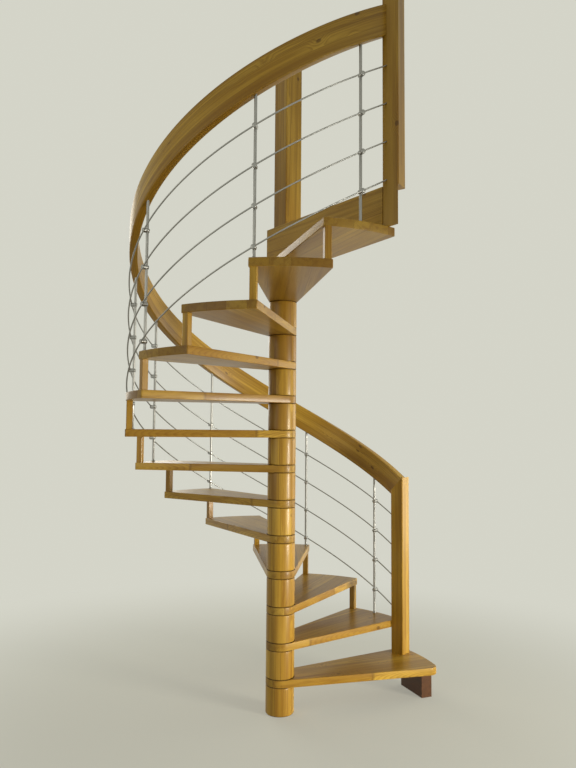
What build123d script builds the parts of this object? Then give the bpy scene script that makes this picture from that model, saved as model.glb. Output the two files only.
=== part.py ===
from build123d import *
from math import asin, atan2, cos, degrees, radians, sin, tan
import os

# Spiral staircase in varnished timber: a column of turned drums carries thirteen radial treads.
# A laminated helical handrail, steel balusters and four helical infill rods close its outer side.
# Millimetres, +Z up. The origin is the centre of the column's foot, on the floor.
# Azimuths are degrees about +Z, counted from +X, and the stair climbs towards greater azimuth.

# Climb
RISE = 187.0
RISERS = 14
STEP_TURN = 22.8
FIRST_EDGE_AZIMUTH = 8.6
OVERLAP_TURN = 3.0

# Treads
TREAD_RADIUS = 838.0
FIRST_TREAD_RADIUS = 895.0
TREAD_THICKNESS = 40.0
TREAD_CORNER = 8.0
FIRST_TREAD_CORNER = 50.0
TREAD_ARRIS = 3.0

# Column of drums, gripped between the treads' round hubs
COLUMN_RADIUS = 76.0
DRUM_CHAMFER = 3.0

# Small square posts that tie each tread's rear corner to the next tread's front corner
STRUT_SIDE = 32.0
STRUT_ARRIS = 2.0
STRUT_SETBACK = 5.0
FIRST_STRUT_TREAD = 3

# Handrail, measured in its radial section
RAIL_WIDTH = 44.0
RAIL_DEPTH = 155.0
RAIL_HEIGHT = 992.0
RAIL_ARRIS = 8.0
RAIL_JOINT_STEP = 7.1
RAIL_START_AZIMUTH = 20.0
RAIL_END_AZIMUTH = 316.0
BALUSTER_SOCKET = 20.0

# Steel balusters and helical infill rods
BALUSTER_DIAMETER = 14.0
MIDDLE_BALUSTER_TREADS = (2, 7, 8, 13)
CORNER_BALUSTER_TREADS = (4, 6, 10, 12)
INFILL_DIAMETER = 8.0
INFILL_OFFSET = 19.0
INFILL_COUNT = 4
INFILL_SPACING = 182.0
INFILL_LOWEST = 221.0
INFILL_SOCKET = 15.0
HOLDER_DIAMETER = 18.0
HOLDER_OVERHANG = 4.0
HOLDER_CLEARANCE = 0.2

# Newels at the two ends of the balustrade
NEWEL_SIDE = 80.0
NEWEL_ARRIS = 4.0
START_NEWEL_OUTSET = 6.0
START_NEWEL_AZIMUTH = 29.4
START_NEWEL_TURN = 50.0
START_NEWEL_HEIGHT = 1035.0
START_NEWEL_SLOPE = 45.0
UPPER_NEWEL_OUTSET = 24.0
UPPER_NEWEL_AZIMUTH = 307.3
UPPER_NEWEL_TURN = 57.0
UPPER_NEWEL_HEIGHT = 1209.0
RAIL_HOUSING = 45.0

# Landing edge, drawn along its own line past the column
LANDING_AZIMUTH = -52.0
RISER_BOARD_THICKNESS = 27.0
RISER_BOARD_FRONT = 62.0
RISER_BOARD_START = 72.0
CENTRE_POST_SIDE = 110.0
CENTRE_POST_SHIFT = 16.5
CENTRE_POST_HEIGHT = 1120.0
CENTRE_POST_HOUSING = 6.0

# Block that carries the first tread's outer end
FOOT_LENGTH = 220.0
FOOT_WIDTH = 65.0
FOOT_SETBACK = 14.0

# Worked out from the sizes above
TREADS = RISERS - 1
LANDING_LEVEL = RISERS * RISE
TOP_TREAD_LEVEL = TREADS * RISE
TREAD_TURN = STEP_TURN + OVERLAP_TURN
DRUM_HEIGHT = RISE - TREAD_THICKNESS
HELIX_PITCH = RISE * 360.0 / STEP_TURN
RAIL_RADIUS = TREAD_RADIUS - RAIL_WIDTH / 2
RAIL_UNDERSIDE = RAIL_HEIGHT - RAIL_DEPTH / 2
RAIL_JOINT_AZIMUTH = FIRST_EDGE_AZIMUTH + RAIL_JOINT_STEP * STEP_TURN
INFILL_RADIUS = RAIL_RADIUS + INFILL_OFFSET
STRUT_RADIUS = TREAD_RADIUS - STRUT_SETBACK - STRUT_SIDE / 2
RISER_BOARD_BACK = RISER_BOARD_FRONT - RISER_BOARD_THICKNESS
FAR = 2 * TREAD_RADIUS

os.makedirs("parts", exist_ok=True)


def polar(radius, azimuth, height=0.0):
    """Point at a radius and azimuth about the column."""
    angle = radians(azimuth)
    return Vector(radius * cos(angle), radius * sin(angle), height)


def climb_line(azimuth):
    """Height of the line through the treads' front edges at an azimuth."""
    return (azimuth - FIRST_EDGE_AZIMUTH) / STEP_TURN * RISE


def front_azimuth(number):
    """Azimuth of a tread's front outer corner."""
    return FIRST_EDGE_AZIMUTH + (number - 1) * STEP_TURN


def save(shape, name):
    shape.label = name
    export_step(shape, "parts/" + name + ".step")
    print(name, round(shape.volume), len(shape.solids()))


def block(x_range, y_range, z_range):
    """Box between given limits."""
    low = [limits[0] for limits in (x_range, y_range, z_range)]
    spans = [limits[1] - limits[0] for limits in (x_range, y_range, z_range)]
    return Pos(*low) * Box(*spans, align=(Align.MIN, Align.MIN, Align.MIN))


def upright(side, arris, foot, turn, top):
    """Square post from its foot's centre up to a height, its faces turned about +Z."""
    post = Box(side, side, top - foot.Z, align=(Align.CENTER, Align.CENTER, Align.MIN))
    post = chamfer(post.edges().filter_by(Axis.Z), arris)
    return post.moved(Location(tuple(foot), (0, 0, turn)))


def climbing_bar(section, radius, start, end, height):
    """Bar that climbs with the stair; its section is drawn about the origin, X outwards and Y up."""
    path = Helix(HELIX_PITCH, climb_line(end) - climb_line(start), radius)
    bar = sweep(Pos(radius, 0, 0) * Rot(90, 0, 0) * section, path, is_frenet=True)
    return bar.moved(Location((0, 0, climb_line(start) + height), (0, 0, start)))


# Treads: a round hub whose two tangents run out to an end curved with the stair

def tread_board(number):
    """Square-edged board of a tread."""
    outer = FIRST_TREAD_RADIUS if number == 1 else TREAD_RADIUS
    side_angle = degrees(asin(COLUMN_RADIUS / TREAD_RADIUS))
    spread = degrees(asin(COLUMN_RADIUS / outer))
    front_heading = front_azimuth(number) + side_angle
    rear_heading = front_azimuth(number) + TREAD_TURN - side_angle
    middle = (front_heading + rear_heading) / 2
    front_corner = polar(outer, front_heading - spread)
    rear_corner = polar(outer, rear_heading + spread)
    front_hub = polar(COLUMN_RADIUS, front_heading - 90)
    rear_hub = polar(COLUMN_RADIUS, rear_heading + 90)
    outline = Wire([
        Line(front_hub, front_corner),
        ThreePointArc(front_corner, polar(outer, middle), rear_corner),
        Line(rear_corner, rear_hub),
        ThreePointArc(rear_hub, polar(COLUMN_RADIUS, middle + 180), front_hub),
    ])
    board = extrude(Face(outline), TREAD_THICKNESS, dir=(0, 0, 1))
    return board.moved(Location((0, 0, number * RISE - TREAD_THICKNESS)))


def tread(number):
    """Tread with rounded corners and softened rims."""
    board = tread_board(number)
    uprights = board.edges().filter_by(Axis.Z)
    corners = sorted(uprights, key=lambda edge: edge.center().length)[-2:]
    near, far = sorted(corners, key=lambda edge: edge.center().Y)
    if number == 1:
        far_point = far.center()
        board = fillet([near], FIRST_TREAD_CORNER)
        near = None
        far = board.edges().filter_by(Axis.Z).sort_by_distance(far_point)[0]
    board = fillet([edge for edge in (near, far) if edge], TREAD_CORNER)
    return fillet(board.faces().filter_by(Axis.Z).edges(), TREAD_ARRIS)


for number in range(1, TREADS + 1):
    save(tread(number), f"tread_{number:02d}")


# Column: one turned drum under every hub, its ends softened so each joint shows as a groove

def drum(number):
    body = Cylinder(COLUMN_RADIUS, DRUM_HEIGHT, align=(Align.CENTER, Align.CENTER, Align.MIN))
    body = chamfer(body.edges().filter_by(GeomType.CIRCLE), DRUM_CHAMFER)
    return body.moved(Location((0, 0, (number - 1) * RISE)))


save(Compound(children=[drum(number) for number in range(1, TREADS + 1)]), "column_drums")


# Struts: each tread's front corner stands on the rear corner of the tread below it

def strut(number):
    azimuth = front_azimuth(number) + OVERLAP_TURN / 2
    foot = polar(STRUT_RADIUS, azimuth, (number - 1) * RISE)
    return upright(STRUT_SIDE, STRUT_ARRIS, foot, azimuth, number * RISE - TREAD_THICKNESS)


struts = [strut(number) for number in range(FIRST_STRUT_TREAD, TREADS + 1)]
save(Compound(children=struts), "tread_struts")


# Infill rods: each runs straight through the balusters' barrels and is bent in between, every half
# step, so that it follows the climb. Both ends are let into the newels.

start_foot = polar(RAIL_RADIUS + START_NEWEL_OUTSET, START_NEWEL_AZIMUTH, RISE)
upper_foot = polar(RAIL_RADIUS + UPPER_NEWEL_OUTSET, UPPER_NEWEL_AZIMUTH, TOP_TREAD_LEVEL)
start_frame = Location((start_foot.X, start_foot.Y, 0), (0, 0, START_NEWEL_TURN))
upper_frame = Location((upper_foot.X, upper_foot.Y, 0), (0, 0, UPPER_NEWEL_TURN))
NEWEL_HALF = NEWEL_SIDE / 2
whole_height = (0, LANDING_LEVEL + UPPER_NEWEL_HEIGHT)

BEND_TURN = STEP_TURN / 2
BEND_RADIUS = INFILL_RADIUS / cos(radians(BEND_TURN / 2))
ROD_SLOPE = degrees(atan2(RISE / 2, 2 * INFILL_RADIUS * tan(radians(BEND_TURN / 2))))


def infill_rod(level):
    """Rod at a height above the climb line, longer than it is between the newels."""
    first_bend = front_azimuth(1) + (TREAD_TURN + BEND_TURN) / 2
    bends = [first_bend + index * BEND_TURN for index in range(2 * TREADS)]
    points = [polar(BEND_RADIUS, azimuth, climb_line(azimuth) + level) for azimuth in bends]
    start = Plane(origin=points[0], z_dir=points[1] - points[0])
    return sweep(start * Circle(INFILL_DIAMETER / 2), Polyline(*points), transition=Transition.RIGHT)


before_start = start_frame * block((-RAIL_DEPTH, RAIL_DEPTH), (-FAR, NEWEL_HALF - INFILL_SOCKET), whole_height)
beyond_upper = upper_frame * block((INFILL_SOCKET - NEWEL_HALF, FAR), (-RAIL_DEPTH, RAIL_DEPTH), whole_height)
infill_rods = []
for index in range(INFILL_COUNT):
    rod = infill_rod(INFILL_LOWEST + index * INFILL_SPACING) - before_start - beyond_upper
    infill_rods.append(rod)
    save(rod, f"infill_rod_{index + 1}")


# Balusters, each with four short barrels that hold the infill rods

def baluster(azimuth, foot_level):
    foot = polar(RAIL_RADIUS, azimuth, foot_level)
    top = climb_line(azimuth) + RAIL_UNDERSIDE + BALUSTER_SOCKET
    rod = Cylinder(BALUSTER_DIAMETER / 2, top - foot_level, align=(Align.CENTER, Align.CENTER, Align.MIN))
    rod = rod.moved(Location(tuple(foot)))
    barrel_end = INFILL_RADIUS + INFILL_DIAMETER / 2 + HOLDER_OVERHANG
    for index in range(INFILL_COUNT):
        level = climb_line(azimuth) + INFILL_LOWEST + index * INFILL_SPACING
        barrel = Cylinder(HOLDER_DIAMETER / 2, barrel_end - RAIL_RADIUS,
                          align=(Align.CENTER, Align.CENTER, Align.MIN))
        rod += Location((0, 0, level), (0, 0, azimuth)) * Pos(RAIL_RADIUS, 0, 0) * Rot(0, 90, 0) * barrel
    for index in range(INFILL_COUNT):
        level = climb_line(azimuth) + INFILL_LOWEST + index * INFILL_SPACING
        bore = Rot(ROD_SLOPE - 90, 0, 0) * Cylinder(INFILL_DIAMETER / 2 + HOLDER_CLEARANCE, 2 * HOLDER_DIAMETER)
        rod -= Location((0, 0, level), (0, 0, azimuth)) * Pos(INFILL_RADIUS, 0, 0) * bore
    return rod


def baluster_socket(azimuth):
    """Hole in the handrail's underside for a baluster's top."""
    top = climb_line(azimuth) + RAIL_UNDERSIDE + BALUSTER_SOCKET
    centre = polar(RAIL_RADIUS, azimuth, top)
    hole = Cylinder(BALUSTER_DIAMETER / 2, 2 * RAIL_DEPTH, align=(Align.CENTER, Align.CENTER, Align.MAX))
    return hole.moved(Location(tuple(centre)))


stands = [(front_azimuth(number) + TREAD_TURN / 2, number) for number in MIDDLE_BALUSTER_TREADS]
stands += [(front_azimuth(number) + OVERLAP_TURN / 2, number) for number in CORNER_BALUSTER_TREADS]
stands.sort()
for index, (azimuth, number) in enumerate(stands):
    save(baluster(azimuth, number * RISE), f"baluster_{index + 1}")


# Handrail in two lengths that butt over the stair's left side

section = RectangleRounded(RAIL_WIDTH, RAIL_DEPTH, RAIL_ARRIS)
lower_rail = climbing_bar(section, RAIL_RADIUS, RAIL_START_AZIMUTH, RAIL_JOINT_AZIMUTH, RAIL_HEIGHT)
upper_rail = climbing_bar(section, RAIL_RADIUS, RAIL_JOINT_AZIMUTH, RAIL_END_AZIMUTH, RAIL_HEIGHT)
seat_top = RISE + START_NEWEL_HEIGHT
seat = start_frame * Pos(0, -NEWEL_HALF, seat_top) * Rot(-START_NEWEL_SLOPE, 0, 0)
above_seat = seat * block((-FAR, FAR), (-FAR, FAR), (0, FAR))
under_seat = start_frame * block((-RAIL_DEPTH, RAIL_DEPTH), (-FAR, NEWEL_HALF), whole_height) - above_seat
past_housing = upper_frame * block((RAIL_HOUSING - NEWEL_HALF, FAR), (-RAIL_DEPTH, RAIL_DEPTH), whole_height)
lower_rail -= under_seat
upper_rail -= past_housing
for azimuth, number in stands:
    if azimuth < RAIL_JOINT_AZIMUTH:
        lower_rail -= baluster_socket(azimuth)
    else:
        upper_rail -= baluster_socket(azimuth)
save(lower_rail, "handrail_lower")
save(upper_rail, "handrail_upper")


# Newels: the lower one stands on the first tread, takes the second tread's corner in a housing
# and ends in a sloped seat. The upper one is notched over the landing edge and houses the rail.

start_newel = upright(NEWEL_SIDE, NEWEL_ARRIS, start_foot, START_NEWEL_TURN, seat_top) - above_seat
start_newel -= tread_board(2)
upper_newel = upright(NEWEL_SIDE, NEWEL_ARRIS, upper_foot, UPPER_NEWEL_TURN, TOP_TREAD_LEVEL + UPPER_NEWEL_HEIGHT)
landing_frame = Location((0, 0, 0), (0, 0, LANDING_AZIMUTH))
landing_edge = landing_frame * block((0, FAR), (-RISER_BOARD_BACK, FAR), (TOP_TREAD_LEVEL, LANDING_LEVEL))
upper_newel = upper_newel - landing_edge - upper_rail
for rod in infill_rods:
    start_newel -= rod
    upper_newel -= rod
save(start_newel, "start_newel")
save(upper_newel, "upper_newel")


# Landing edge: a riser board on the last tread, housed over the post that stands on the column

board_height = (TOP_TREAD_LEVEL, LANDING_LEVEL)
riser_board = landing_frame * block((-RISER_BOARD_START, FAR), (-RISER_BOARD_FRONT, -RISER_BOARD_BACK), board_height)
riser_board -= upper_frame * block((-FAR, FAR), (-FAR, NEWEL_HALF), whole_height)

post_height = (TOP_TREAD_LEVEL, TOP_TREAD_LEVEL + CENTRE_POST_HEIGHT)
post_width = (CENTRE_POST_SHIFT - CENTRE_POST_SIDE / 2, CENTRE_POST_SHIFT + CENTRE_POST_SIDE / 2)
post_front = -RISER_BOARD_BACK - CENTRE_POST_HOUSING
centre_post = block(post_width, (post_front, post_front + CENTRE_POST_SIDE), post_height)
riser_board -= landing_frame * centre_post
centre_post = landing_frame * chamfer(centre_post.edges().filter_by(Axis.Z), NEWEL_ARRIS)
save(riser_board, "landing_riser")
save(centre_post, "centre_post")


# Foot block under the first tread's outer end

foot_outer = FIRST_TREAD_RADIUS - FOOT_SETBACK
foot_block = block((foot_outer - FOOT_WIDTH, foot_outer), (-FOOT_LENGTH / 2, FOOT_LENGTH / 2), (0, DRUM_HEIGHT))
foot_block = Rot(0, 0, front_azimuth(1) + TREAD_TURN / 2) * foot_block
save(foot_block, "first_tread_foot")
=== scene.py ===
from math import acos, asin, atan2, cos, degrees, pi, radians, sin, sqrt

import bmesh
import bpy
from mathutils import Matrix, Vector


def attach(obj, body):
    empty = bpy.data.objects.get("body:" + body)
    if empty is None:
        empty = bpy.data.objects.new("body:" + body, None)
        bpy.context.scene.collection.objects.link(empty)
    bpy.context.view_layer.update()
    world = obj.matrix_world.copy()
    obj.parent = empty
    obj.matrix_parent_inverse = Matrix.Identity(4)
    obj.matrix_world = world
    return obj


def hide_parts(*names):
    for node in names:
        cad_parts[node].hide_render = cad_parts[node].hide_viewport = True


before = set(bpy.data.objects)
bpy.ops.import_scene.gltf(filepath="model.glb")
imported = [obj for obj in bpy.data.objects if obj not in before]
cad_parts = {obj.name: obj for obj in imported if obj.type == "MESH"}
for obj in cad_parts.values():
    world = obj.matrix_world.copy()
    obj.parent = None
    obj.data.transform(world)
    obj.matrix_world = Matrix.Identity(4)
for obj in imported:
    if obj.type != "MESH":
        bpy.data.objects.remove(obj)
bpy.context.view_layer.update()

bl_info = {
    "name": "Spiral staircase",
    "version": (1, 0, 0),
    "blender": (4, 5, 0),
    "location": "3D View > Sidebar > Stair",
    "description": "Dresses a varnished timber spiral staircase with a steel balustrade",
    "category": "Object",
}

# The climb, as the frame's solids have it. Lengths are metres and azimuths degrees about +Z.
RISE = 0.187
TREADS = 13
STEP_TURN = 22.8
FIRST_EDGE = 8.6
TREAD_TURN = 25.8
OVERLAP_TURN = 3.0

# The handrail and the infill rods, which climb at their own radii
RAIL_RADIUS = 0.816
RAIL_START = 20.0
RAIL_JOINT = 170.48
RAIL_END = 316.0
RAIL_HOUSING = 0.045
RAIL_STEPS = 160
ROD_RADIUS = 0.835
ROD_LEVELS = tuple(0.221 + 0.182 * row for row in range(4))
ROD_SOCKET = 0.015
ROD_CLEARANCE = 0.0002
ROD_SIDES = 14
ROD_STEPS = 200

# The balusters, by the numbers of the treads that carry them at the middle or at the rear corner
MIDDLE_BALUSTERS = (2, 7, 8, 13)
CORNER_BALUSTERS = (4, 6, 10, 12)
BALUSTER_RADIUS = 0.007
BALUSTER_TENON = 0.019
BALUSTER_SIDES = 28
HOLDER_INNER = 0.0105
HOLDER_LENGTH = 0.0375

# The posts: each newel's radius, azimuth and turn, the centre post's place and the landing's edge
START_NEWEL = (0.822, 29.4, 50.0)
UPPER_NEWEL = (0.840, 307.3, 57.0)
NEWEL_HALF = 0.040
SEAT_TOP = 1.222
CENTRE_POST = (0.02205, -0.00542)
LANDING_TURN = -52.0

# Turned profiles, as short steps out and up: a drum's end, a baluster's collar and a holder's end
DRUM_QUIRK = ((0.0, 0.0008), (0.0016, 0.0008), (0.0014, 0.0014), (0.0009, 0.0022), (0.0003, 0.0030))
BALUSTER_COLLAR = ((0.0108, 0.0), (0.0004, 0.0006), (0.0, 0.0030), (-0.0010, 0.0012), (-0.0020, 0.0010),
                   (-0.0008, 0.0014), (-0.0004, 0.0010))
HOLDER_END = ((0.0002, 0.0065), (0.0012, 0.0028), (0.0011, 0.0013), (0.0024, 0.0009), (0.0005, -0.0016),
              (0.0014, 0.0), (0.0005, 0.0016))
DRUM_SIDES = 96

# The widths of the boards, strips and staves that the wood is glued up from, and of their joints
TREAD_BOARD = 0.095
DRUM_STAVE = 0.048
RAIL_STRIP = 0.054
NEWEL_STRIP = 0.040
POST_STRIP = 0.055
JOINT_CORE = 0.0003
JOINT_EDGE = 0.0018

# The grain: rings, streaks and fibres to the metre, how wide a knot is, and how high the grain stands
RINGS = 180.0
STREAKS = 42.0
FIBRES = 240.0
KNOT_CORE = 0.045
KNOT_EDGE = 0.085
GRAIN_RELIEF = 0.00004
VARNISH = {"Coat_Weight": 0.12, "Coat_Roughness": 0.15, "Specular_IOR_Level": 0.32, "IOR": 1.45}

# The steel: scratches to the metre beside and along a rod, and how deep they are
SCRATCHES = 900.0
SCRATCH_RUN = 24.0
SCRATCH_RELIEF = 0.00005

# Where the grain's middle lies: each drum's turn from the one below, and the heights and radii
DRUM_TURN = 2.1
RISER_LEVEL = 2.5
FOOT_RADIUS = 0.85

# The camera, fitted to the treads' edges, and the floor, which fades into the background
CAMERA_PLACE = (0.0, -3.734, 1.481)
CAMERA_PAN = -0.48
CAMERA_TILT = 94.14
CAMERA_ROLL = 0.45
CAMERA_LENS = 31.83
FILM_HEIGHT = 36.0
FLOOR_SIZE = 60.0
FLOOR_FADE = (1.0, 3.4)
FLOOR_GLOW = 0.4

# The world's strength, and each lamp's place, aim, size, power and spread
AMBIENT = 0.42
LAMP_COLOUR = (1.0, 0.95, 0.84)
LAMPS = (("key", (5.3, -3.2, 0.8), (0.0, 0.0, 0.3), 1.7, 50.0, 58.0),
         ("edge", (4.8, 2.6, 1.4), (0.0, 0.0, 1.3), 3.0, 40.0, 120.0),
         ("fill", (-4.0, -3.4, 2.4), (0.0, 0.0, 1.5), 3.0, 34.0, 180.0),
         ("back", (-2.6, 4.8, 3.2), (0.0, 0.0, 1.6), 3.0, 80.0, 180.0))


def climb(azimuth):
    """Height of the line through the treads' front edges."""
    return (azimuth - FIRST_EDGE) / STEP_TURN * RISE


def front(number):
    """Azimuth of a tread's front outer corner."""
    return FIRST_EDGE + (number - 1) * STEP_TURN


def polar(radius, azimuth, height=0.0):
    """Point at a radius and azimuth about the column."""
    return Vector((radius * cos(radians(azimuth)), radius * sin(radians(azimuth)), height))


# Shader maths: a wire holds one socket's value, and sums on wires add Math nodes

class Wire:
    """One socket's value, which sums, products and Math operations act on."""

    def __init__(self, tree, socket):
        self.tree, self.socket = tree, socket

    def math(self, operation, *others):
        """A Math node on this wire and others, or on plain numbers."""
        node = self.tree.nodes.new("ShaderNodeMath")
        node.operation = operation
        for place, value in enumerate((self,) + others):
            if isinstance(value, Wire):
                self.tree.links.new(value.socket, node.inputs[place])
            else:
                node.inputs[place].default_value = value
        return Wire(self.tree, node.outputs[0])

    def __add__(self, other):
        return self.math("ADD", other)

    def __sub__(self, other):
        return self.math("SUBTRACT", other)

    def __rsub__(self, other):
        return self.math("MULTIPLY", -1.0).math("ADD", other)

    def __mul__(self, other):
        return self.math("MULTIPLY", other)

    def __truediv__(self, other):
        return self.math("DIVIDE", other)

    __radd__ = __add__
    __rmul__ = __mul__

    def fade(self, low, high):
        """0 at low and 1 at high, eased between them."""
        share = ((self - low) / (high - low)).math("MAXIMUM", 0.0).math("MINIMUM", 1.0)
        return share * share * (3.0 - share * 2.0)


class Finish:
    """One material's nodes, from its Object coordinates to its surface."""

    def __init__(self, name):
        self.material = bpy.data.materials.new(name)
        self.material.use_nodes = True
        self.tree = self.material.node_tree
        self.tree.nodes.clear()
        place = self.node("TexCoord")
        split = self.node("SeparateXYZ", {"Vector": Wire(self.tree, place.outputs["Object"])})
        self.x, self.y, self.z = (Wire(self.tree, split.outputs[axis]) for axis in range(3))
        self.radius = (self.x * self.x + self.y * self.y).math("SQRT")

    def node(self, kind, sockets=None, **settings):
        """Any node, with its settings made first and its sockets then given values or links."""
        node = self.tree.nodes.new("ShaderNode" + kind)
        for name, value in settings.items():
            setattr(node, name, value)
        for name, value in (sockets or {}).items():
            if isinstance(value, Wire):
                self.tree.links.new(value.socket, node.inputs[name])
            else:
                node.inputs[name].default_value = value
        return node

    def wire(self, kind, output, sockets=None, **settings):
        """One output of a new node."""
        return Wire(self.tree, self.node(kind, sockets, **settings).outputs[output])

    def noise(self, x, y, z, seed, detail=2.0, roughness=0.5):
        """Noise between 0 and 1 at a place that is already scaled."""
        place = self.wire("CombineXYZ", 0, {"X": x, "Y": y, "Z": z})
        return self.wire("TexNoise", 0, {"Vector": place, "W": seed, "Scale": 1.0, "Detail": detail,
                                         "Roughness": roughness}, noise_dimensions="4D")

    def chance(self, seed):
        """A fixed random number for each whole seed."""
        return self.wire("TexWhiteNoise", 0, {"W": seed}, noise_dimensions="1D")

    def mix(self, factor, first, second):
        """A colour between two, each a wire or three channels."""
        node = self.tree.nodes.new("ShaderNodeMix")
        node.data_type = "RGBA"
        for place, value in ((0, factor), (6, first), (7, second)):
            if isinstance(value, Wire):
                self.tree.links.new(value.socket, node.inputs[place])
            else:
                node.inputs[place].default_value = value if place == 0 else tuple(value) + (1.0,)
        return Wire(self.tree, node.outputs[2])

    def close(self, colour, roughness, height, relief, **fixed):
        """Join the wires in one surface. relief is the height's scale, and fixed are plain sockets."""
        bump = self.wire("Bump", 0, {"Height": height, "Strength": 1.0, "Distance": relief})
        varying = {"Base Color": colour, "Roughness": roughness, "Normal": bump}
        surface = self.node("BsdfPrincipled", varying)
        for name, value in fixed.items():
            surface.inputs[name.replace("_", " ")].default_value = value
        self.node("OutputMaterial", {"Surface": Wire(self.tree, surface.outputs[0])})
        return self.material


def varnished(name, lay, colours, board=0.0, stain_and_shade=None):
    """Varnished softwood. lay gives the way along, across and through the grain, and a seed."""
    light, middle, dark = colours
    finish = Finish(name)
    along, across, through, seed = lay(finish)
    joint = None
    if board:
        place = across / board + seed * 0.37
        strip = place.math("FLOOR")
        offset = place.math("FRACT") - 0.5
        joint = 1.0 - (0.5 - offset.math("ABSOLUTE")).fade(JOINT_CORE / board, JOINT_EDGE / board)
        across = offset * board
        seed = seed + strip * 3.0
    tilt, depth, shade = (finish.chance(seed + shift) for shift in (0.0, 17.0, 41.0))
    sway = finish.noise(along * 0.9, across * 2.0, through * 2.0, seed, 2.0)
    ripple = finish.noise(along * 5.0, across * 14.0, through * 14.0, seed + 4.0, 3.0, 0.6)
    spots = {"X": along * 5.0 + seed * 7.3, "Y": across * 7.0, "Z": through * 7.0}
    place = finish.wire("CombineXYZ", 0, spots)
    knot = finish.wire("TexVoronoi", "Distance", {"Vector": place, "Scale": 1.0})
    side = across + (tilt - 0.5) * 0.06 + sway * 0.030
    heart = through + 0.012 + depth * 0.040 + sway * 0.024
    bend = ripple * 1.4 - knot.fade(0.03, 0.30) * 2.5
    growth = (side * side + heart * heart).math("SQRT") * RINGS + bend
    year = growth.math("FRACT")
    late = year.fade(0.35, 0.88) * (1.0 - year.fade(0.93, 1.0))
    streak = finish.noise(along * 1.4, across * STREAKS, through * STREAKS, seed + 8.0, 2.0, 0.6)
    fibre = finish.noise(along * 9.0, across * FIBRES, through * FIBRES, seed + 2.0, 2.0, 0.6)
    cloud = finish.noise(along * 1.8, across * 6.0, through * 6.0, seed + 6.0, 1.0)
    base = finish.mix(cloud.fade(0.3, 0.7), middle, light)
    base = finish.mix(shade.fade(0.1, 1.0) * 0.55, base, dark)
    base = finish.mix(streak.fade(0.42, 0.68) * 0.48, base, dark)
    base = finish.mix(late * (0.20 + streak * 0.40), base, dark)
    base = finish.mix(fibre.fade(0.45, 0.75) * 0.16, base, dark)
    bark = [channel * 0.5 for channel in dark]
    base = finish.mix((1.0 - knot.fade(KNOT_CORE, KNOT_EDGE)) * 0.75, base, bark)
    rough = fibre * 0.12 + cloud * 0.10 + 0.26
    relief = fibre * 0.4 + late * 0.3
    if joint:
        base = finish.mix(joint * 0.42, base, bark)
        relief = relief - joint * 0.8
    # Darkens joints and seams: dirt and dark joints, and on the column's seams painted shade as well
    if stain_and_shade:
        stain_and_shade_mask = stain_and_shade(finish)
        base = finish.mix(stain_and_shade_mask, base, [channel * 0.22 for channel in dark])
        rough = rough + stain_and_shade_mask * 0.3
    return finish.close(base, rough, relief, GRAIN_RELIEF, **VARNISH)


def brushed(name, colour):
    """Satin steel, ground along the rod."""
    finish = Finish(name)
    grind = finish.noise(finish.x * SCRATCHES, finish.y * SCRATCHES, finish.z * SCRATCH_RUN, 2.0, 2.0)
    smear = finish.noise(finish.x * 5.0, finish.y * 5.0, finish.z * 5.0, 5.0, 3.0)
    base = finish.mix(grind.fade(0.3, 0.7), [channel * 0.78 for channel in colour], colour)
    base = finish.mix(smear.fade(0.45, 0.8) * 0.35, base, [channel * 0.6 for channel in colour])
    return finish.close(base, grind * 0.16 + smear * 0.16 + 0.24, grind, SCRATCH_RELIEF, Metallic=1.0)


# Which way the grain lies in each kind of piece

def turned(finish, turn, centre=(0.0, 0.0)):
    """The way along and beside a direction, whose azimuth is in radians."""
    x, y = finish.x - centre[0], finish.y - centre[1]
    if isinstance(turn, Wire):
        out, aside = turn.math("COSINE"), turn.math("SINE")
    else:
        out, aside = cos(turn), sin(turn)
    return x * out + y * aside, y * out - x * aside


def tread_lay(finish):
    """Out along each tread's middle line."""
    number = (finish.z / RISE + 0.5).math("FLOOR")
    turn = (number - 1.0) * radians(STEP_TURN) + radians(FIRST_EDGE + TREAD_TURN / 2)
    along, across = turned(finish, turn)
    return along, across, finish.z - number * RISE, number * 50.0


def drum_lay(finish):
    """Up each drum, which stands some way round from the one below."""
    number = (finish.z / RISE).math("FLOOR")
    across, through = turned(finish, number * DRUM_TURN)
    return finish.z, across, through, number * 40.0 + 7.0


def strut_lay(finish):
    """Up each small post at the treads' corners."""
    number = (finish.z / RISE).math("FLOOR")
    turn = number * radians(STEP_TURN) + radians(FIRST_EDGE + OVERLAP_TURN / 2)
    through, across = turned(finish, turn)
    return finish.z, across, through - RAIL_RADIUS, number * 30.0 + 5.0


def post_lay(centre, turn, seed):
    """Up a post about its own centre, square to its own turn."""
    def lay(finish):
        across, through = turned(finish, radians(turn), centre)
        return finish.z, across, through, seed
    return lay


def board_lay(finish):
    """Along the riser board."""
    along, through = turned(finish, radians(LANDING_TURN))
    return along, finish.z - RISER_LEVEL, through, 3.0


def block_lay(finish):
    """Along the block under the first tread."""
    through, along = turned(finish, radians(FIRST_EDGE + TREAD_TURN / 2))
    return along, finish.z, through - FOOT_RADIUS, 8.0


def rail_lay(finish):
    """Along the climb, with one strip above another."""
    turn = (finish.y * -1.0).math("ARCTAN2", finish.x * -1.0) + pi
    up = finish.z - (turn * (180.0 / pi) - FIRST_EDGE) * (RISE / STEP_TURN)
    return turn * RAIL_RADIUS, up - sizes().rail_height, (finish.radius - RAIL_RADIUS) * 0.6, 50.0


# Darkened joints, where varnish and dust gather, with painted shade in the column's seams

def drum_seam_dirt_and_shade(finish):
    """The seams at both ends of each drum, darkened for dirt and as painted shade in their grooves."""
    level = finish.z - (finish.z / RISE).math("FLOOR") * RISE
    near = level.math("MINIMUM", (RISE - sizes().tread_thickness) - level)
    return (1.0 - near.fade(0.0008, 0.0045)) * 0.85


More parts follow.
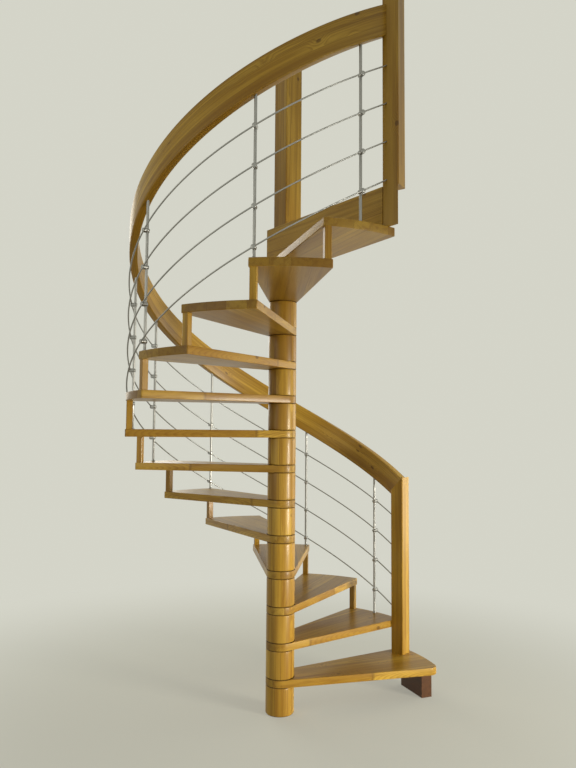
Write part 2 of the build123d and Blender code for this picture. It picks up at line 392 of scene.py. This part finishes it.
def hub_seam_dirt_shade_and_end_grain(finish):
    """The seams beside a hub, darkened for dirt and as painted shade, and the darker end grain on hubs and
    tread ends.
    """
    number = (finish.z / RISE + 0.5).math("FLOOR")
    level = finish.z - number * RISE
    near = (level * -1.0).math("MINIMUM", level + sizes().tread_thickness)
    hub = 1.0 - (finish.radius - sizes().column_radius).fade(0.0012, 0.0040)
    # Painted shade and dirt at the hub's seams; the end grain and tips below are the wood's own darker tone
    seam = (1.0 - near.fade(0.0003, 0.0040)) * hub * 0.85
    along = tread_lay(finish)[0] / finish.radius
    extra = sizes().first_radius - sizes().tread_radius
    longest = number.math("LESS_THAN", 1.5) * extra + sizes().tread_radius
    tip = (finish.radius - longest).fade(-0.0016, -0.0004)
    return seam.math("MAXIMUM", (along * along * hub).math("MAXIMUM", tip) * 0.30)


def rail_stain(finish):
    """The butt joint between the handrail's two lengths."""
    turn = (finish.y * -1.0).math("ARCTAN2", finish.x * -1.0) + pi
    gap = (turn - radians(RAIL_JOINT)).math("ABSOLUTE") * RAIL_RADIUS
    return (1.0 - gap.fade(0.0004, 0.0016)) * 0.8


# Modelling by hand, one tool after another

def clear_selection():
    """Leave edit mode and deselect everything."""
    if bpy.context.object and bpy.context.object.mode == "EDIT":
        bpy.ops.object.mode_set(mode="OBJECT")
    bpy.ops.object.select_all(action="DESELECT")


def take(piece):
    """Select one object alone and make it active."""
    clear_selection()
    piece.select_set(True)
    bpy.context.view_layer.objects.active = piece
    return piece


def settle(piece):
    """Put an object's place into its mesh, so that it sits unturned at the origin."""
    take(piece)
    bpy.ops.object.transform_apply(location=True, rotation=True, scale=True)
    return piece


def named(name):
    """Name the object in hand and its mesh."""
    piece = bpy.context.object
    piece.name = piece.data.name = name
    return piece


def start(primitive, name, **settings):
    """Add a primitive and open it for editing."""
    clear_selection()
    getattr(bpy.ops.mesh, f"primitive_{primitive}_add")(**settings)
    piece = settle(named(name))
    bpy.ops.object.mode_set(mode="EDIT")
    return piece


def pick(parts, test):
    """Select the vertices, edges or faces of the mesh in hand that pass a test."""
    bpy.ops.mesh.select_mode(type=parts)
    bpy.ops.mesh.select_all(action="DESELECT")
    mesh = bpy.context.object.data
    shape = bmesh.from_edit_mesh(mesh)
    for part in {"VERT": shape.verts, "EDGE": shape.edges, "FACE": shape.faces}[parts]:
        if test(part):
            part.select_set(True)
    bmesh.update_edit_mesh(mesh)


def close_shape():
    """Finish the mesh in hand: merge its doubles, fill its ends and turn its faces outwards."""
    bpy.ops.mesh.select_mode(type="VERT")
    bpy.ops.mesh.select_all(action="SELECT")
    bpy.ops.mesh.remove_doubles(threshold=0.00001)
    bpy.ops.mesh.fill_holes(sides=0)
    bpy.ops.mesh.select_all(action="SELECT")
    bpy.ops.mesh.normals_make_consistent(inside=False)
    bpy.ops.object.mode_set(mode="OBJECT")


def start_outline(name, place):
    """A mesh of one selected vertex, to draw an outline from."""
    piece = start("plane", name, size=0.01)
    bpy.ops.mesh.select_all(action="SELECT")
    bpy.ops.mesh.merge(type="CENTER")
    bpy.ops.transform.translate(value=place)
    return piece


def draw_line(way):
    """Draw a straight line on from the outline's end."""
    bpy.ops.mesh.extrude_vertices_move(TRANSFORM_OT_translate={"value": way})


def draw_path(*ways):
    """Draw short lines, each given as how far it goes out and up."""
    for out, up in ways:
        draw_line((out, 0.0, up))


def draw_arc(centre, turn, steps, axis=(0.0, 0.0, 1.0)):
    """Carry the outline's end round a centre, anticlockwise for a positive turn."""
    bpy.ops.mesh.spin(steps=steps, angle=-turn, center=centre, axis=axis)


def spin_round(steps, axis=(0.0, 0.0, 1.0)):
    """Turn the profile in hand on the lathe and close it."""
    bpy.ops.mesh.select_all(action="SELECT")
    draw_arc((0.0, 0.0, 0.0), 2 * pi, steps, axis)
    close_shape()


def modify(piece, kind, **settings):
    """Add a modifier and apply it."""
    take(piece)
    modifier = piece.modifiers.new(kind, kind)
    for key, value in settings.items():
        setattr(modifier, key, value)
    bpy.ops.object.modifier_apply(modifier=modifier.name)
    return piece


def twin(piece, name, turn=0.0, shift=(0.0, 0.0, 0.0)):
    """A copy with its own mesh, turned about the column and moved."""
    take(piece)
    bpy.ops.object.duplicate(linked=False)
    copy = named(name)
    copy.matrix_world = Matrix.Translation(shift) @ Matrix.Rotation(radians(turn), 4, "Z")
    return settle(copy)


def join(pieces, name):
    """Make one piece of several."""
    clear_selection()
    for piece in pieces:
        piece.select_set(True)
    bpy.context.view_layer.objects.active = pieces[0]
    bpy.ops.object.join()
    return named(name)


def discard(*pieces):
    clear_selection()
    for piece in pieces:
        piece.select_set(True)
    bpy.ops.object.delete()


def dress(piece, material, slot, *nodes, angle=32.0):
    """Give a piece its finish, its body and the nodes that it stands for."""
    take(piece)
    bpy.ops.object.shade_smooth_by_angle(angle=radians(angle))
    piece.data.materials.clear()
    piece.data.materials.append(material)
    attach(piece, "root")
    if nodes:
        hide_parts(*nodes)


def paint(material, *nodes):
    """Give solids of the frame their finish."""
    for node in nodes:
        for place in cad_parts[node].material_slots:
            place.material = material


def cut_end(piece, place, way):
    """Saw a piece off at a plane and close the end. way points to the waste."""
    take(piece)
    bpy.ops.object.mode_set(mode="EDIT")
    bpy.ops.mesh.select_all(action="SELECT")
    bpy.ops.mesh.bisect(plane_co=place, plane_no=way, use_fill=True, clear_outer=True)
    bpy.ops.object.mode_set(mode="OBJECT")


class StairSizes(bpy.types.PropertyGroup):
    """The sizes that shape the pieces drawn here"""
    tread_radius: bpy.props.FloatProperty(
        name="Tread radius", description="From the column's axis to a tread's end", default=0.838,
        unit="LENGTH")
    first_radius: bpy.props.FloatProperty(
        name="First tread radius", description="From the axis to the lowest tread's end", default=0.895,
        unit="LENGTH")
    tread_thickness: bpy.props.FloatProperty(
        name="Tread thickness", description="Thickness of a tread", default=0.040, unit="LENGTH")
    tread_corner: bpy.props.FloatProperty(
        name="Tread corner", description="Radius of a tread's outer corners", default=0.008, unit="LENGTH")
    first_corner: bpy.props.FloatProperty(
        name="First tread corner", description="Radius of the lowest tread's front corner", default=0.050,
        unit="LENGTH")
    tread_arris: bpy.props.FloatProperty(
        name="Tread arris", description="Rounding of a tread's rims", default=0.003, unit="LENGTH")
    column_radius: bpy.props.FloatProperty(
        name="Column radius", description="Radius of the drums and hubs", default=0.076, unit="LENGTH")
    rail_width: bpy.props.FloatProperty(
        name="Handrail width", description="Width of the handrail", default=0.044, unit="LENGTH")
    rail_depth: bpy.props.FloatProperty(
        name="Handrail depth", description="Upright depth of the handrail", default=0.155, unit="LENGTH")
    rail_height: bpy.props.FloatProperty(
        name="Handrail height", description="From the climb line to the handrail's middle", default=0.992,
        unit="LENGTH")
    rail_arris: bpy.props.FloatProperty(
        name="Handrail arris", description="Rounding of the handrail's corners", default=0.008,
        unit="LENGTH")
    rod: bpy.props.FloatProperty(
        name="Infill rod", description="Radius of an infill rod", default=0.004, unit="LENGTH")


class StairColours(bpy.types.PropertyGroup):
    """The colours of the wood, the steel and the ground"""
    light: bpy.props.FloatVectorProperty(
        name="Light wood", description="Pale early wood", subtype="COLOR", default=(0.62, 0.390, 0.058))
    middle: bpy.props.FloatVectorProperty(
        name="Middle wood", description="Honey wood", subtype="COLOR", default=(0.47, 0.265, 0.024))
    dark: bpy.props.FloatVectorProperty(
        name="Dark wood", description="Late wood and fibres", subtype="COLOR",
        default=(0.215, 0.092, 0.006))
    # The foot's colour is darker brown wood, with painted shade added for the shadow under the first tread
    foot: bpy.props.FloatVectorProperty(
        name="Foot", description="Brown wood of the first tread's foot", subtype="COLOR",
        default=(0.11, 0.040, 0.009))
    steel: bpy.props.FloatVectorProperty(
        name="Steel", description="Balusters and rods", subtype="COLOR", default=(0.40, 0.40, 0.38))
    ground: bpy.props.FloatVectorProperty(
        name="Ground", description="Floor and background", subtype="COLOR", default=(0.66, 0.66, 0.58))


def sizes():
    return bpy.context.scene.stair_sizes


def woods():
    """The light, middle and dark tones of the varnished wood."""
    colours = bpy.context.scene.stair_colours
    return [tuple(tone) for tone in (colours.light, colours.middle, colours.dark)]


def seen_rays(tree):
    """1 for the rays that see the background: the camera's, and those that metal and varnish send on."""
    path = tree.nodes.new("ShaderNodeLightPath")
    kinds = ("Camera", "Glossy", "Transmission")
    camera, glossy, clear = (Wire(tree, path.outputs[f"Is {kind} Ray"]) for kind in kinds)
    return camera.math("MAXIMUM", glossy.math("MAXIMUM", clear))


class STAIR_OT_stage(bpy.types.Operator):
    """Set the floor, the background, the lamps and the camera"""
    bl_idname = "stair.stage"
    bl_label = "Stage"

    def execute(self, context):
        ground = tuple(context.scene.stair_colours.ground)
        clear_selection()
        bpy.ops.mesh.primitive_plane_add(size=FLOOR_SIZE)
        floor = named("floor")
        cover = Finish("floor_paint")
        share = cover.radius.fade(*FLOOR_FADE) * (1.0 - FLOOR_GLOW) + FLOOR_GLOW
        near = cover.wire("BsdfPrincipled", 0, {"Base Color": ground + (1.0,), "Roughness": 0.9})
        glow = cover.wire("Emission", 0, {"Color": ground + (1.0,), "Strength": 1.0})
        blend = cover.wire("MixShader", 0, {0: share * seen_rays(cover.tree), 1: near, 2: glow})
        cover.node("OutputMaterial", {"Surface": blend})
        floor.data.materials.append(cover.material)

        world = bpy.data.worlds.new("studio")
        world.use_nodes = True
        tree = world.node_tree
        backdrop = tree.nodes["Background"]
        backdrop.inputs["Color"].default_value = ground + (1.0,)
        tree.links.new((seen_rays(tree) * (1.0 - AMBIENT) + AMBIENT).socket, backdrop.inputs["Strength"])
        context.scene.world = world

        for name, place, aim, size, power, spread in LAMPS:
            bpy.ops.object.light_add(type="AREA", location=place)
            lamp = context.object
            lamp.name = name
            lamp.data.size, lamp.data.energy, lamp.data.spread = size, power, radians(spread)
            lamp.data.color = LAMP_COLOUR
            lamp.rotation_euler = (Vector(aim) - Vector(place)).to_track_quat("-Z", "Y").to_euler()

        bpy.ops.object.camera_add(location=CAMERA_PLACE)
        camera = context.object
        turn = (Matrix.Rotation(radians(CAMERA_PAN), 3, "Z") @ Matrix.Rotation(radians(CAMERA_TILT), 3, "X")
                @ Matrix.Rotation(radians(CAMERA_ROLL), 3, "Z"))
        camera.rotation_euler = turn.to_euler()
        camera.data.sensor_fit = "VERTICAL"
        camera.data.sensor_height = FILM_HEIGHT
        camera.data.lens = CAMERA_LENS
        context.scene.camera = camera
        context.scene.view_settings.view_transform = "Standard"
        return {"FINISHED"}


def tread_board(outer, near_corner, name):
    """A tread whose middle points along +X and whose top is at the floor's level."""
    size = sizes()
    hub = size.column_radius
    heading = radians(TREAD_TURN) / 2 - asin(hub / size.tread_radius)
    touch = heading + pi / 2

    def corner(rounding, side):
        """Where a corner's rounding meets the straight, its centre, its turn and its bearing."""
        inner, reach = hub - rounding, outer - rounding
        run = sqrt(reach * reach - inner * inner)
        spread = asin(inner / reach)
        way = Vector((cos(side * heading), sin(side * heading), 0.0))
        off = Vector((cos(side * touch), sin(side * touch), 0.0))
        return way * run + off * hub, way * run + off * inner, pi / 2 - spread, side * (heading + spread)

    first, first_centre, first_turn, first_bearing = corner(near_corner, -1)
    last, last_centre, last_turn, last_bearing = corner(size.tread_corner, 1)
    foot = Vector((cos(-touch), sin(-touch), 0.0)) * hub
    heel = Vector((cos(touch), sin(touch), 0.0)) * hub
    piece = start_outline(name, foot)
    draw_line(first - foot)
    draw_arc(first_centre, first_turn, steps=12)
    draw_arc((0.0, 0.0, 0.0), last_bearing - first_bearing, steps=28)
    draw_arc(last_centre, last_turn, steps=8)
    draw_line(heel - last)
    draw_arc((0.0, 0.0, 0.0), 2 * pi - 2 * touch, steps=56)
    bpy.ops.mesh.select_all(action="SELECT")
    bpy.ops.mesh.remove_doubles(threshold=0.00001)
    bpy.ops.mesh.edge_face_add()
    bpy.ops.mesh.extrude_region_move(TRANSFORM_OT_translate={"value": (0.0, 0.0, -size.tread_thickness)})
    bpy.ops.mesh.select_all(action="SELECT")
    bpy.ops.mesh.normals_make_consistent(inside=False)
    pick("EDGE", lambda edge: abs(edge.verts[0].co.z - edge.verts[1].co.z) < 0.0001)
    bpy.ops.mesh.bevel(offset=size.tread_arris, segments=4, affect="EDGES")
    pick("FACE", lambda face: len(face.verts) > 50)
    bpy.ops.mesh.inset(thickness=0.0015)
    close_shape()
    return piece


class STAIR_OT_treads(bpy.types.Operator):
    """Cut the first tread, and one that is copied up the stair"""
    bl_idname = "stair.treads"
    bl_label = "Treads"

    def execute(self, context):
        size = sizes()
        wood = varnished("tread_wood", tread_lay, woods(), board=TREAD_BOARD, stain_and_shade=hub_seam_dirt_shade_and_end_grain)
        middle = FIRST_EDGE + TREAD_TURN / 2
        lowest = tread_board(size.first_radius, size.first_corner, "first_pattern")
        pattern = tread_board(size.tread_radius, size.tread_corner, "tread_pattern")
        for number in range(1, TREADS + 1):
            source = lowest if number == 1 else pattern
            board = twin(source, f"tread_board_{number:02d}", middle + (number - 1) * STEP_TURN,
                         (0.0, 0.0, number * RISE))
            dress(board, wood, "tread_wood", f"tread_{number:02d}")
        discard(lowest, pattern)
        return {"FINISHED"}


class STAIR_OT_column(bpy.types.Operator):
    """Turn one drum and stack it under every hub"""
    bl_idname = "stair.column"
    bl_label = "Column drums"

    def execute(self, context):
        size = sizes()
        radius, height = size.column_radius, RISE - size.tread_thickness
        depth, rise = (sum(step[axis] for step in DRUM_QUIRK) for axis in (0, 1))
        drum = start_outline("drum_pattern", (0.0, 0.0, 0.0))
        draw_path((radius - depth, 0.0), *DRUM_QUIRK, (0.0, height - 2 * rise),
                  *((-out, up) for out, up in reversed(DRUM_QUIRK)), (depth - radius, 0.0))
        spin_round(DRUM_SIDES)
        drums = [twin(drum, f"drum_{number}", 0.0, (0.0, 0.0, number * RISE)) for number in range(TREADS)]
        column = join(drums, "column_turned")
        wood = varnished("column_wood", drum_lay, woods(), board=DRUM_STAVE, stain_and_shade=drum_seam_dirt_and_shade)
        dress(column, wood, "column_wood", "column_drums")
        discard(drum)
        return {"FINISHED"}


def climbing_strip(piece, begin, end, steps):
    """Carry the section in hand, drawn at azimuth 0, up the climb from one azimuth to another."""
    bpy.ops.object.mode_set(mode="OBJECT")
    lift = Matrix.Translation((0.0, 0.0, climb(begin)))
    piece.matrix_world = lift @ Matrix.Rotation(radians(begin), 4, "Z")
    settle(piece)
    modify(piece, "SCREW", axis="Z", angle=radians(end - begin), screw_offset=climb(end) - climb(begin),
           steps=steps, render_steps=steps)
    bpy.ops.object.mode_set(mode="EDIT")
    close_shape()
    return piece


def newel_frame(newel):
    """The place of a newel's axis, with X along its face's normal."""
    radius, azimuth, turn = newel
    return Matrix.Translation(polar(radius, azimuth)) @ Matrix.Rotation(radians(turn), 4, "Z")


def rod_end(newel, side, inset):
    """Azimuth where the rods' circle meets a plane in a newel, side degrees on from its face."""
    radius, azimuth, turn = newel
    reach = (radius * cos(radians(azimuth - turn - side)) + inset) / ROD_RADIUS
    return turn + side - degrees(acos(reach))


class STAIR_OT_handrail(bpy.types.Operator):
    """Sweep the laminated handrail and fit its ends to the newels"""
    bl_idname = "stair.handrail"
    bl_label = "Handrail"

    def execute(self, context):
        size = sizes()
        wood = varnished("handrail_wood", rail_lay, woods(), board=RAIL_STRIP, stain_and_shade=rail_stain)
        for node, begin, end in (("handrail_lower", RAIL_START, RAIL_JOINT),
                                 ("handrail_upper", RAIL_JOINT, RAIL_END)):
            rail = start("plane", node + "_laminated", size=1.0)
            bpy.ops.mesh.select_all(action="SELECT")
            bpy.ops.transform.resize(value=(size.rail_width, size.rail_depth, 1.0))
            bpy.ops.mesh.bevel(offset=size.rail_arris, segments=6, affect="VERTICES")
            bpy.ops.object.mode_set(mode="OBJECT")
            rail.matrix_world = (Matrix.Translation((RAIL_RADIUS, 0.0, size.rail_height))
                                 @ Matrix.Rotation(pi / 2, 4, "X"))
            settle(rail)
            climbing_strip(rail, begin, end, RAIL_STEPS)
            if node == "handrail_lower":
                self.seat(rail)
            else:
                upper = newel_frame(UPPER_NEWEL)
                cut_end(rail, upper @ Vector((RAIL_HOUSING - NEWEL_HALF, 0.0, 0.0)), upper.col[0].to_3d())
            dress(rail, wood, "handrail_wood", node)
        return {"FINISHED"}

    def seat(self, rail):
        """Cut the lower end to the newel's sloped seat and back face."""
        block = start("cube", "newel_waste", size=1.0)
        width, depth, height = 0.4, 0.5, 2.0
        bpy.ops.mesh.select_all(action="SELECT")
        bpy.ops.transform.resize(value=(width, depth, height))
        bpy.ops.transform.translate(value=(0.0, NEWEL_HALF - depth / 2, height / 2))
        bpy.ops.mesh.bisect(plane_co=(0.0, -NEWEL_HALF, SEAT_TOP), plane_no=(0.0, 1.0, 1.0), use_fill=True,
                            clear_outer=True)
        bpy.ops.object.mode_set(mode="OBJECT")
        block.matrix_world = newel_frame(START_NEWEL)
        settle(block)
        modify(rail, "BOOLEAN", object=block, operation="DIFFERENCE", solver="EXACT")
        discard(block)


class STAIR_OT_rods(bpy.types.Operator):
    """Draw the four helical rods from newel to newel"""
    bl_idname = "stair.rods"
    bl_label = "Infill rods"

    def execute(self, context):
        steel = brushed("rod_steel", tuple(context.scene.stair_colours.steel))
        begin = rod_end(START_NEWEL, 90.0, NEWEL_HALF - ROD_SOCKET)
        end = rod_end(UPPER_NEWEL, 0.0, ROD_SOCKET - NEWEL_HALF) + 360.0
        for index, level in enumerate(ROD_LEVELS):
            rod = start("circle", f"rod_{index + 1}", vertices=ROD_SIDES, radius=sizes().rod,
                        location=(ROD_RADIUS, 0.0, level), rotation=(pi / 2, 0.0, 0.0))
            climbing_strip(rod, begin, end, ROD_STEPS)
            dress(rod, steel, "steel", f"infill_rod_{index + 1}")
        return {"FINISHED"}


class STAIR_OT_balusters(bpy.types.Operator):
    """Turn a rod holder and two balusters, and copy them round the stair"""
    bl_idname = "stair.balusters"
    bl_label = "Balusters and rod holders"

    def execute(self, context):
        steel = brushed("baluster_steel", tuple(context.scene.stair_colours.steel))
        holder = self.holder()
        stands = []
        for kind, numbers, turn in (("middle", MIDDLE_BALUSTERS, TREAD_TURN / 2),
                                    ("corner", CORNER_BALUSTERS, OVERLAP_TURN / 2)):
            pattern = self.baluster(holder, kind, climb(FIRST_EDGE + turn))
            stands += [(front(number) + turn, number, pattern) for number in numbers]
        stands.sort(key=lambda stand: stand[0])
        for index, (azimuth, number, pattern) in enumerate(stands):
            rise = (0.0, 0.0, (number - 1) * RISE)
            baluster = twin(pattern, f"baluster_rod_{index + 1}", azimuth, rise)
            dress(baluster, steel, "steel", f"baluster_{index + 1}")
        discard(holder, *{pattern for azimuth, number, pattern in stands})
        return {"FINISHED"}

    def holder(self):
        """A barrel along +X with grooved ends, bored for the climbing rod."""
        barrel = start_outline("holder_pattern", (-HOLDER_INNER, 0.0, 0.0))
        grooved = sum(out for out, up in HOLDER_END)
        draw_path(*HOLDER_END, (HOLDER_LENGTH - 2 * grooved, 0.0),
                  *((out, -up) for out, up in reversed(HOLDER_END)))
        spin_round(BALUSTER_SIDES, (1.0, 0.0, 0.0))
        slope = atan2(RISE, radians(STEP_TURN) * ROD_RADIUS)
        drill = start("cylinder", "drill", vertices=24, radius=sizes().rod + ROD_CLEARANCE, depth=0.08,
                      rotation=(slope - pi / 2, 0.0, 0.0), location=(ROD_RADIUS - RAIL_RADIUS, 0.0, 0.0))
        bpy.ops.object.mode_set(mode="OBJECT")
        modify(barrel, "BOOLEAN", object=drill, operation="DIFFERENCE", solver="EXACT")
        discard(drill)
        return barrel

    def baluster(self, holder, kind, line):
        """A baluster at azimuth 0 on a tread one rise up, where the climb line has the height line."""
        size = sizes()
        top = line + size.rail_height - size.rail_depth / 2 + BALUSTER_TENON
        shaft = start_outline(f"{kind}_shaft", (0.0, 0.0, RISE))
        collar = sum(up for out, up in BALUSTER_COLLAR)
        bevel = 0.0010
        draw_path(*BALUSTER_COLLAR, (0.0, top - RISE - collar - bevel), (-bevel, bevel),
                  (bevel - BALUSTER_RADIUS, 0.0))
        spin_round(BALUSTER_SIDES)
        for level in ROD_LEVELS:
            barrel = twin(holder, "barrel", 0.0, (0.0, 0.0, line + level))
            modify(shaft, "BOOLEAN", object=barrel, operation="UNION", solver="EXACT")
            discard(barrel)
        shaft.matrix_world = Matrix.Translation((RAIL_RADIUS, 0.0, 0.0))
        return settle(shaft)


class STAIR_OT_frame_solids(bpy.types.Operator):
    """Give the frame's own solids their finishes"""
    bl_idname = "stair.frame_solids"
    bl_label = "Newels, posts, struts and boards"

    def execute(self, context):
        tones = woods()
        # The foot's tones: its own darker brown, with painted shade for the shadow under the first tread
        foot = tuple(context.scene.stair_colours.foot)
        brown_and_shade = (foot, foot, [channel * 0.5 for channel in foot])
        start_lay = post_lay(polar(*START_NEWEL[:2]), START_NEWEL[2], 11.0)
        upper_lay = post_lay(polar(*UPPER_NEWEL[:2]), UPPER_NEWEL[2], 17.0)
        centre_lay = post_lay(CENTRE_POST, LANDING_TURN, 23.0)
        paint(varnished("strut_wood", strut_lay, tones), "tread_struts")
        paint(varnished("start_newel_wood", start_lay, tones, board=NEWEL_STRIP), "start_newel")
        paint(varnished("upper_newel_wood", upper_lay, tones, board=NEWEL_STRIP), "upper_newel")
        paint(varnished("centre_post_wood", centre_lay, tones, board=POST_STRIP), "centre_post")
        paint(varnished("riser_wood", board_lay, tones), "landing_riser")
        paint(varnished("foot_wood_and_shade", block_lay, brown_and_shade), "first_tread_foot")
        return {"FINISHED"}


class STAIR_PT_panel(bpy.types.Panel):
    """The stair's pieces, sizes and colours"""
    bl_idname = "STAIR_PT_panel"
    bl_label = "Spiral staircase"
    bl_space_type = "VIEW_3D"
    bl_region_type = "UI"
    bl_category = "Stair"

    def draw(self, context):
        for step in STEPS:
            self.layout.operator(step.bl_idname)
        for group in (context.scene.stair_sizes, context.scene.stair_colours):
            for name in group.bl_rna.properties.keys():
                if name not in ("rna_type", "name"):
                    self.layout.prop(group, name)


STEPS = (STAIR_OT_stage, STAIR_OT_treads, STAIR_OT_column, STAIR_OT_handrail, STAIR_OT_rods,
         STAIR_OT_balusters, STAIR_OT_frame_solids)
CLASSES = (StairSizes, StairColours) + STEPS + (STAIR_PT_panel,)


def register():
    for kind in CLASSES:
        bpy.utils.register_class(kind)
    bpy.types.Scene.stair_sizes = bpy.props.PointerProperty(type=StairSizes)
    bpy.types.Scene.stair_colours = bpy.props.PointerProperty(type=StairColours)


def unregister():
    del bpy.types.Scene.stair_colours
    del bpy.types.Scene.stair_sizes
    for kind in reversed(CLASSES):
        bpy.utils.unregister_class(kind)


def main():
    register()
    for step in STEPS:
        group, name = step.bl_idname.split(".")
        getattr(getattr(bpy.ops, group), name)()


if __name__ == "__main__":
    main()
